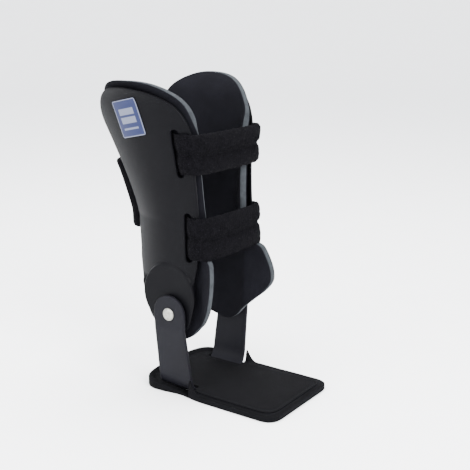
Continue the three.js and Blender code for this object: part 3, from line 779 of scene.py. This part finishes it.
def rear_path(z):
    """Stations of the strap behind the leg, from its lateral tail round to its medial tail."""
    tail, half = STRAP["tail"] / 2, REAR_STRAP["thickness"] / 2
    edge = edge_y(shell_outline, z, np.max)
    start = REAR_STRAP["tail_y"]
    lateral = []
    for step in range(6):
        y = start + (edge - start) * step / 5
        lateral.append((-(curved_x(y, z) + TAIL_OFFSET), y, tail))
    lateral.append((lateral[-1][0], edge + 1.5, tail))
    wide = curved_x(edge, z) + TAIL_OFFSET
    behind = []
    for angle in range(10, 171, 16):
        turn = math.radians(angle)
        behind.append((-wide * math.cos(turn), edge + 3 + REAR_STRAP["depth"] * math.sin(turn), half))
    medial = [(-x, y, thickness) for x, y, thickness in reversed(lateral)]
    return np.array(lateral + behind + medial)


def smooth_path(stations, at):
    """Points on a smooth curve through the stations, at fractional station numbers."""
    gaps = np.linalg.norm(np.diff(stations[:, :2], axis=0), axis=1)
    slopes = np.diff(stations, axis=0) / gaps[:, None]
    tangents = np.vstack([slopes[:1], slopes])
    before, after = gaps[:-1, None], gaps[1:, None]
    tangents[1:-1] = (slopes[:-1] * after + slopes[1:] * before) / (before + after)
    index = np.minimum(at.astype(int), len(gaps) - 1)
    t = (at - index)[:, None]
    reach = gaps[index][:, None]
    starts, ends = reach * tangents[index], reach * tangents[index + 1]
    return between(stations[index], starts, stations[index + 1], ends, t)


class Strap:
    """A plush strap that stands on edge: two padded lobes on either side of a sewn centre seam."""

    def __init__(self, path_at, z0, z1, base=0.2, puff=1.25, inner=0.85, tips=0.0):
        self.path_at = path_at
        self.centre, self.half = (z0 + z1) / 2, (z1 - z0) / 2
        self.base, self.puff, self.inner, self.tips = base, puff, inner, tips
        stations = path_at(self.centre)
        dense = np.linspace(0, len(stations) - 1, 20 * len(stations))
        along = smooth_path(stations, dense)[:, :2]
        lengths = running_length(along)
        self.length = lengths[-1]
        self.station_at = lambda distance: np.interp(distance, lengths, dense)

    def face(self, distance, v, outward):
        """Points on a face, at distances along the strap and at v from -1 (bottom) to 1 (top)."""
        z = self.centre + v * self.half
        stations = self.path_at(z)
        at = self.station_at(distance)
        here = smooth_path(stations, at)
        step = 0.02
        ahead = smooth_path(stations, np.minimum(at + step, len(stations) - 1))
        behind = smooth_path(stations, np.maximum(at - step, 0))
        along = ahead[:, :2] - behind[:, :2]
        along /= np.linalg.norm(along, axis=1)[:, None]
        normal = np.stack([along[:, 1], -along[:, 0]], axis=1)
        rounding = STRAP["corner"] / self.half
        beyond = max(0.0, (abs(v) - 1 + rounding) / rounding)
        edge = math.sqrt(max(0.0, 1 - beyond * beyond))
        lobe = math.sqrt(max(0.0, 1 - ((abs(v) - 0.54) / 0.46) ** 2))
        thick = edge * (self.base + self.puff * lobe) if outward else -self.inner * edge
        taper = np.ones(len(at))
        if self.tips:
            gap = np.clip(1 - (self.length - distance) / self.tips, 0, 1)
            taper = np.sqrt(np.clip(1 - gap * gap, 0.04, 1))
        pucker = 1 + 0.2 * np.cos(2 * math.pi * distance / STITCH_PITCH) * math.exp(-(v / 0.42) ** 2)
        offset = here[:, 2] * thick * taper * pucker
        flat = here[:, :2] + normal * offset[:, None]
        points = np.column_stack([flat, np.full(len(at), z)])
        return points, np.column_stack([normal, np.zeros(len(at))])

    def mesh(self, name, step, fuzz, seed):
        distance = np.linspace(0, self.length, round(self.length / step))
        corner = STRAP["corner"] / self.half
        ends = [1 - corner + corner * math.sin(math.radians(t)) for t in (15, 30, 45, 60, 75, 90)]
        middle = np.linspace(-1 + corner, 1 - corner, round(2 * self.half / step))
        levels = [-v for v in reversed(ends)] + list(middle) + ends
        vertices, rings = [], []
        for outward, heights in ((True, levels), (False, levels[::-1][1:-1])):
            for v in heights:
                points, normals = self.face(distance, v, outward)
                rings.append(len(vertices))
                for point, normal, at in zip(points, normals, distance):
                    fine = noise.noise(Vector(point) / 1.3 + Vector((seed, 0, 0)))
                    soft = noise.noise(Vector(point) / 6.0 + Vector((0, seed, 0)))
                    ragged = noise.noise(Vector((at / 1.9, seed, v)))
                    ragged += noise.noise(Vector((at / 5, v, seed)))
                    lift = fuzz * (fine + 0.8 * soft) * (1 if outward else 0.4)
                    upward = Vector((0, 0, 1.4 * fuzz * ragged * v ** 6))
                    vertices.append(Vector(point + (normal if outward else -normal) * lift) + upward)
        count, polygons = len(distance), []
        for a, b in zip(rings, rings[1:] + rings[:1]):
            polygons += [(a + i, a + i + 1, b + i + 1, b + i) for i in range(count - 1)]
        last = len(levels) - 1
        across = [0] + [len(rings) - i for i in range(1, last)] + [last]
        for end in (0, count - 1):
            for i in range(last):
                quad = [rings[i], rings[i + 1], rings[across[i + 1]], rings[across[i]]]
                polygons.append(tuple(dict.fromkeys(index + end for index in quad)))
        return new_mesh(name, vertices, polygons)


def stitches(name, places, size, body):
    """Short thread stitches. places lists (point, along, normal) for each."""
    vertices, polygons = [], []
    length, radius = THREAD_SIZE[size]
    sides, rings = 6, 5
    for point, along, normal in places:
        point, along, normal = Vector(point), Vector(along).normalized(), Vector(normal).normalized()
        across = along.cross(normal)
        start = len(vertices)
        for ring in range(rings):
            t = ring / (rings - 1)
            dip = radius * 1.6 * (2 * t - 1) ** 2
            round_off = radius * max(0.35, math.sqrt(max(0.0, 1 - (2 * t - 1) ** 4)))
            centre = point + along * length * (t - 0.5) - normal * dip
            for k in range(sides):
                angle = 2 * math.pi * k / sides
                out = normal * math.cos(angle) + across * math.sin(angle)
                vertices.append(centre + round_off * out)
        polygons += tube_faces(start, rings, sides)
    piece = new_mesh(name, vertices, polygons)
    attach(piece, body)
    piece.data.materials.append(THREAD)


def seam_stitches(strap, name, start, end, body):
    """Rows of stitches along a strap's outer face, on either side of its centre seam."""
    places = []
    for row, v in enumerate((-0.06, 0.06)):
        distance = np.arange(start + row * STITCH_PITCH / 2, end, STITCH_PITCH)
        points, normals = strap.face(distance, v, True)
        ahead, _ = strap.face(distance + 0.5, v, True)
        for point, normal, forward in zip(points, normals, ahead - points):
            places.append((point + normal * 0.12, forward, normal))
    stitches(name, places, "strap", body)


def build_front_strap(level, seed):
    (_, bottom), (_, top) = SLOTS[level]
    z0, z1 = bottom + STRAP["margin"], top - STRAP["margin"]
    strap = Strap(lambda z: front_path(level, z), z0, z1, tips=1.6)
    piece = strap.mesh(f"{level}_strap_plush", 0.7, 0.42, seed)
    declare(piece, "lateral_side", "plush", [f"{level}_strap"])
    start, end = STRAP["tail_length"] + 8, strap.length - 2
    seam_stitches(strap, f"{level}_strap_stitching", start, end, "lateral_side")


def build_tab(level, seed):
    """The hook-backed end of a front strap, with a sewn border."""
    (_, bottom), (_, top) = SLOTS[level]
    z0, z1 = bottom + STRAP["margin"], top - STRAP["margin"]
    y0, y1 = TABS[level]
    outline = rounded_box(y0, y1, z0, z1, 4.5)
    under, thickness = TAB["under"], TAB["thickness"]

    def place(y, z, depth):
        border = min(y - y0, y1 - y, z - z0, z1 - z)
        sewn = 0.45 * math.exp(-((border - 3.2) / 0.8) ** 2)
        fuzz = 0.14 * ripple(y, z, 1.4, seed) + 0.12 * ripple(y, z, 6, seed)
        outer = curved_x(y, z) + under + thickness + 0.4 - sewn + fuzz
        inner = curved_x(y, z) + under
        return (outer + (inner - outer) * depth, y, z)

    piece = plate(f"{level}_tab_plush", outline, place, 1.0, 0.8, round_rim(thickness + 0.4, 0.8))
    declare(piece, f"{level}_tab", "plush", [f"{level}_strap_hook_tab"])
    border = rounded_box(y0 + 3.2, y1 - 3.2, z0 + 3.2, z1 - 3.2, 2.0, 2.6)
    surface = lambda u, v: Vector(place(u, v, 0))
    places = []
    for (u, v), (un, vn) in zip(border, np.roll(border, -1, axis=0)):
        here, ahead = surface(u, v), surface(un, vn)
        slope = Vector((1, curved_x(u - 1, v) - curved_x(u, v), curved_x(u, v - 1) - curved_x(u, v)))
        places.append((here + Vector((0.1, 0, 0)), ahead - here, slope))
    stitches(f"{level}_tab_stitching", places, "strap", f"{level}_tab")


def build_rear_strap():
    strap = Strap(rear_path, REAR_STRAP["bottom"], REAR_STRAP["top"], base=0.55, puff=0.55)
    piece = strap.mesh("rear_strap_plush", 1.1, 0.4, 31.0)
    declare(piece, "lateral_side", "plush", ["rear_strap"])
    start, end = REAR_STRAP["hidden"], strap.length - REAR_STRAP["hidden"]
    seam_stitches(strap, "rear_strap_stitching", start, end, "lateral_side")


# ------------------------ stirrup
def stirrup_centre_line():
    """The stirrup's centre line in (X, Z), from the top of the medial head down to the middle."""
    floor = STIRRUP["thickness"] / 2
    top = ANKLE_HEIGHT + STIRRUP["head_radius"]
    start = np.array([STIRRUP["foot_x"], STIRRUP["foot_height"]])
    corner = np.array([STIRRUP["foot_x"] - 1.5, floor])
    end = np.array([STIRRUP["floor_x"], floor])
    turn = np.linspace(0, 1, 25)
    bend = [(1 - t) ** 2 * start + 2 * t * (1 - t) * corner + t * t * end for t in turn]
    crease = np.array([STIRRUP["ankle_x"], STIRRUP["bend_height"]])
    down = (start - crease) / np.linalg.norm(start - crease)
    fillet = [crease + np.array([0, 0.9]), crease + down * 0.25 + np.array([-0.02, 0.2]),
              crease + down * 0.9]
    return np.array([(STIRRUP["ankle_x"], top)] + fillet + bend + [(0, floor)])


def build_stirrup():
    half_line = stirrup_centre_line()
    whole = np.vstack([half_line, (half_line[:-1] * [-1, 1])[::-1]])
    lengths = running_length(whole)
    total, head = lengths[-1], STIRRUP["head_radius"]

    def point(s):
        return np.array([np.interp(s, lengths, whole[:, k]) for k in (0, 1)])

    def place(s, y, depth):
        here = point(min(max(s, 0), total))
        along = point(min(s + 0.4, total)) - point(max(s - 0.4, 0))
        along /= np.linalg.norm(along)
        off = STIRRUP["thickness"] * (0.5 - depth)
        return (here[0] - along[1] * off, y, here[1] + along[0] * off)

    bend = head + ANKLE_HEIGHT - STIRRUP["bend_height"]
    upright_foot = bend + math.hypot(STIRRUP["ankle_x"] - STIRRUP["foot_x"],
                                     STIRRUP["bend_height"] - STIRRUP["foot_height"])
    quarter = [(head - head * math.cos(t), head * math.sin(t)) for t in np.linspace(0, math.pi / 2, 16)]
    quarter += [(bend, STIRRUP["top_half"]), (upright_foot, STIRRUP["foot_half"])]
    one = quarter + [(total - s, y) for s, y in reversed(quarter)]
    other = [(s, -y) for s, y in reversed(one)][1:-1]
    outline = soften(resample(one + other, 1.2), 2)
    holes = [circle((s, 0), RIVET["shank"] + 0.3, 0.8) for s in (head, total - head)]
    guides = []
    for s in (bend, total - bend):
        for shift in (-0.7, 0.0, 0.7):
            width = STIRRUP["top_half"] - 1.6
            guides.append(np.array([(s + shift, y) for y in np.linspace(-width, width, 26)]))
    rim = round_rim(STIRRUP["thickness"], 0.8)
    piece = plate("stirrup_band", outline, place, 1.7, 0.8, rim, holes, guides)
    declare(piece, "stirrup", "stirrup_plastic", ["stirrup"])


# ------------------------ rivets
def build_rivet(side, direction):
    """A domed rivet: a clinched disc inside the shell, its shank, and the head on the upright."""
    seat = STIRRUP["ankle_x"] + STIRRUP["thickness"] / 2
    radius, rise, shank = RIVET["radius"], RIVET["rise"], RIVET["shank"]
    clinch, x0, x1 = RIVET["clinch"], RIVET["clinch_x"], RIVET["clinch_end"]
    profile = [(0.01, x0 + 0.35), (shank * 0.55, x0 + 0.3), (shank * 0.8, x0), (clinch - 0.25, x0),
               (clinch, x0 + 0.25), (clinch, x1 - 0.15), (clinch - 0.15, x1), (shank, x1),
               (shank, seat + 0.05), (radius - 0.2, seat + 0.05), (radius, seat + 0.2)]
    for k in range(1, 13):
        angle = math.pi / 2 * k / 12
        profile.append((max(0.01, radius * math.cos(angle) ** 0.8),
                        seat + 0.35 + (rise - 0.2) * math.sin(angle)))
    sides = 56
    vertices = []
    for out, x in profile:
        for k in range(sides):
            angle = 2 * math.pi * k / sides
            z = ANKLE_HEIGHT + out * math.sin(angle)
            vertices.append((x * direction, out * math.cos(angle), z))
    piece = new_mesh(f"{side}_rivet_dome", vertices, tube_faces(0, len(profile), sides))
    declare(piece, "stirrup", "rivet_steel", [f"{side}_rivet"])


# ------------------------ footbed
def footbed_half(y):
    """Half the footbed's width. Its sides draw in beside the uprights."""
    across = (y - FOOTBED["waist_y"]) / FOOTBED["waist_reach"]
    return FOOTBED["half"] - FOOTBED["waist"] * math.exp(-across * across)


def footbed_outline(inset, notch_x=0, notch_half=0):
    """The footbed's outline. Its cover is also notched at both sides for the uprights."""
    side = FOOTBED["half"] - inset
    front, corner, heel_start = FOOTBED["front_y"] + inset, FOOTBED["corner"], FOOTBED["heel_start"]
    depth = FOOTBED["heel_y"] - heel_start - inset
    power = 2 / FOOTBED["squareness"]
    rounded = lambda value: math.copysign(abs(value) ** power, value)
    half = []
    for k in range(13):
        t = k / 12
        half.append(((side - corner) + corner * (1 - (1 - t) ** 2), front + corner * t * t))
    side_end = -notch_half if notch_half else heel_start - 1
    half += [(footbed_half(y) - inset, y) for y in np.arange(front + corner + 2, side_end, 1.5)]
    first = 0.0
    if notch_half:
        half += [(notch_x, -notch_half), (notch_x, notch_half)]
        first = math.asin(((notch_half - heel_start) / depth) ** (1 / power))
    heel = footbed_half(heel_start) - inset
    for angle in np.linspace(first, math.pi / 2, 40):
        half.append((heel * rounded(math.cos(angle)), heel_start + depth * rounded(math.sin(angle))))
    whole = half + [(-x, y) for x, y in reversed(half)]
    return soften(resample(whole, 1.2), 2)


FULL_FOOTBED = footbed_outline(0)


def footbed_top(x, y):
    """Height of the pad: flat, a rim round the heel, a low strip beside each upright, then a wing."""
    gap = float(np.min(np.linalg.norm(FULL_FOOTBED - [x, y], axis=1)))
    rim = 1 - smoothstep(FOOTBED["rim_width"] - 1.4, FOOTBED["rim_width"] + 1.2, gap)
    base = FOOTBED["foam"] - 0.5 * rim
    beside = STIRRUP["foot_half"] + 0.4
    if y > beside:
        return base + rim * (FOOTBED["rim_height"] - base) * smoothstep(beside - 1.6, beside + 1.5, y)
    if y > -beside:
        low, high = FOOTBED["strip_low"], FOOTBED["strip_high"]
        strip = low + (high - low) * (y + beside) / (2 * beside)
        return base + (strip - base) * smoothstep(35, 38.5, abs(x))
    fall = min(max((-beside - y) / FOOTBED["wing_reach"], 0), 1)
    return base + rim * (FOOTBED["wing_height"] - base) * (1 - fall) ** 2.6


def footbed_bottom(x, y):
    """The underside lies on the floor, except where it runs over the stirrup."""
    if abs(y) > STIRRUP["foot_half"] + 0.45 or abs(x) > UPRIGHT_HOLE["x1"] - 1:
        return 0.0
    return STIRRUP["thickness"] + 0.25 + 1.3 * smoothstep(25.5, 31, abs(x))


def build_footbed():
    x0, x1, half = (UPRIGHT_HOLE[key] for key in ("x0", "x1", "half"))
    outline = footbed_outline(0)
    holes = [rounded_box(*sorted((sign * x0, sign * x1)), -half, half, 0.8) for sign in (-1, 1)]

    bend = stirrup_centre_line()[4:]
    along = np.gradient(bend, axis=0)
    normal = np.stack([-along[:, 1], along[:, 0]], axis=1)
    normal *= (STIRRUP["thickness"] / 2 + 0.35) / np.linalg.norm(along, axis=1)[:, None]
    outer, inner = (bend + normal)[::-1], (bend - normal)[::-1]

    def place(x, y, depth):
        """The walls of the two holes lean, to follow the bends of the stirrup."""
        top, bottom = footbed_top(x, y), footbed_bottom(x, y)
        soft = 0.15 * ripple(x, y, 18, 5.0)
        z = max(bottom, (top + soft) * (1 - depth) + bottom * depth)
        out, edge = abs(x), footbed_half(y)
        if out > x1 - 0.5:
            near = min(max((edge - out) / (edge - x1), 0), 1)
            shift = max(33, np.interp(z, outer[:, 1], outer[:, 0])) - x1
        else:
            near = min(max((out - 26) / (x0 - 26), 0), 1)
            shift = np.interp(z, inner[:, 1], inner[:, 0]) - x0
        shift *= near * (1 - smoothstep(half - 0.7, half - 0.1, abs(y)))
        return (math.copysign(out + shift, x), y, z)

    guides = []
    for y in (half - 0.25, half - 0.05):
        for sign in (-1, 1):
            guides.append(np.array([(x, sign * y) for x in np.linspace(-x0 + 2, x0 - 2, 50)]))
    for y in (-half + 0.25, -half - 0.1, -half - 0.7):
        beside = np.linspace(x1 + 1.1, footbed_half(y) - 1.2, 3)
        guides += [np.array([(sign * x, y) for x in beside]) for sign in (-1, 1)]
    pad = plate("footbed_pad", outline, place, 1.8, 0.8, round_rim(FOOTBED["foam"], 0.8), holes, guides)
    declare(pad, "stirrup", "footbed", ["footbed_foam"])

    cover_outline = footbed_outline(FOOTBED["rim_width"] + 1, x0 - 0.6, half + 0.6)
    loop = footbed_outline(FOOTBED["rim_width"] + 4, x0 - 3.6, half + 3.6)

    def cover(x, y, depth):
        gap = float(np.min(np.linalg.norm(loop - [x, y], axis=1)))
        sewn = 0.5 * math.exp(-(gap / 0.9) ** 2)
        top = FOOTBED["foam"] + 1.15 - sewn + 0.1 * ripple(x, y, 14, 2.0)
        return (x, y, top - (top - FOOTBED["foam"] - 0.2) * depth)

    insole = plate("footbed_insole", cover_outline, cover, 1.7, 0.4, round_rim(0.9, 0.4, 3))
    declare(insole, "stirrup", "footbed", ["footbed_cover"])
    sewing = resample(loop, 3.0)
    places = []
    for here, ahead in zip(sewing, np.roll(sewing, -1, axis=0)):
        point = Vector(cover(here[0], here[1], 0)) + Vector((0, 0, 0.14))
        places.append((point, (ahead[0] - here[0], ahead[1] - here[1], 0), (0, 0, 1)))
    stitches("footbed_stitching", places, "footbed", "stirrup")


# ------------------------ label
def build_label():
    centre = np.array(LABEL["centre"])
    half_width, half_height = LABEL["width"] / 2, LABEL["height"] / 2
    turn = math.radians(LABEL["turn"])
    card = rounded_box(-half_width, half_width, -half_height, half_height, 1.5, 0.9)
    spin = np.array([[math.cos(turn), -math.sin(turn)], [math.sin(turn), math.cos(turn)]])
    place = lambda y, z, depth: mirrored((curved_x(y, z) + 0.75 - 0.5 * depth, y, z), -1)
    piece = plate("side_label_card", card @ spin + centre, place, 1.5, 0.2, round_rim(0.5, 0.2, 2))
    declare(piece, "lateral_side", "label_blue", ["side_label"])


# ------------------------ assembly
for side, direction in SIDES.items():
    build_shell(side, direction)
    build_liner(side, direction)
    build_rivet(side, direction)
    for patch, corners in LINER_HOOKS.items():
        node = f"{side}_{patch}"
        build_patch(f"{node}_tape", node, f"{side}_side", direction, corners, liner_x, 0.25, 2.0)
    for washer in ("friction_washer", "backing_washer"):
        steel = washer == "backing_washer"
        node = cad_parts[f"{side}_{washer}"]
        node.data.materials.clear()
        node.data.materials.append(LOOKS["rivet_steel" if steel else "washer_nylon"])

build_stirrup()
build_footbed()
for number, level in enumerate(SLOTS):
    (_, bottom), (slot_top_y, top) = SLOTS[level]
    build_front_strap(level, 5.0 + 9 * number)
    build_tab(level, 13.0 + 9 * number)
    corners = (slot_top_y + 7, TABS[level][1] + 3, bottom + STRAP["margin"], top - STRAP["margin"])
    build_patch(f"{level}_loop_tape", f"{level}_shell_loop_patch", "medial_side", 1, corners,
                curved_x, 0.25, 1.1)
build_rear_strap()
build_label()


# ------------------------ floor, camera and lights
CAMERA = dict(place=(-591.09, -447.96, 322.79), target=(-2.64, -35.92, 137.01), lens=68.17)
LIGHTS = {  # place, size and power
    "key": ((-350, -1000, 900), 700, 34),
    "fill": ((-1100, 300, 500), 900, 16),
    "top": ((100, 100, 1300), 900, 34),
}


def build_floor():
    """A pale studio floor that sweeps up behind the object."""
    rows = []
    for k in range(25):
        turn = math.pi / 2 * k / 24
        rows.append((2600 + 1500 * math.sin(turn), 1500 - 1500 * math.cos(turn)))
    profile = [(-3500, 0), (0, 0)] + rows + [(4100, 4500)]
    heading = Vector(CAMERA["target"]).xy - Vector(CAMERA["place"]).xy
    away = heading.normalized()
    across = Vector((away.y, -away.x))
    vertices, polygons = [], []
    for reach, height in profile:
        for side in (-5000, 5000):
            spot = away * reach + across * side
            vertices.append((spot.x, spot.y, height - 0.05))
    for k in range(len(profile) - 1):
        polygons.append((2 * k, 2 * k + 1, 2 * k + 3, 2 * k + 2))
    floor = new_mesh("studio_floor", vertices, polygons)
    look = Look("studio_paper", 0.9, specular=0.2)
    paper = look.grain(40, 2.0)
    color = look.blend(paper, (0.93, 0.93, 0.935, 1), (0.96, 0.96, 0.965, 1))
    floor.data.materials.append(look.finish(color))


def aim(thing, start, target):
    thing.location = Vector(start) * MM
    thing.rotation_euler = (Vector(target) - Vector(start)).to_track_quat("-Z", "Y").to_euler()


def area_light(name, start, target, size, power):
    data = bpy.data.lights.new(name, "AREA")
    data.shape = "DISK"
    data.size = size * MM
    data.energy = power
    lamp = bpy.data.objects.new(name, data)
    bpy.context.scene.collection.objects.link(lamp)
    aim(lamp, start, target)


build_floor()
camera_data = bpy.data.cameras.new("camera")
camera_data.lens = CAMERA["lens"]
camera_data.sensor_width = 36
camera = bpy.data.objects.new("camera", camera_data)
bpy.context.scene.collection.objects.link(camera)
aim(camera, CAMERA["place"], CAMERA["target"])
bpy.context.scene.camera = camera

for name, (place, width, power) in LIGHTS.items():
    area_light(name, place, (0, 0, 130), width, power)

world = bpy.data.worlds.new("studio")
world.use_nodes = True
world.node_tree.nodes["Background"].inputs["Color"].default_value = (0.95, 0.97, 1.0, 1)
world.node_tree.nodes["Background"].inputs["Strength"].default_value = 3.2
bpy.context.scene.world = world
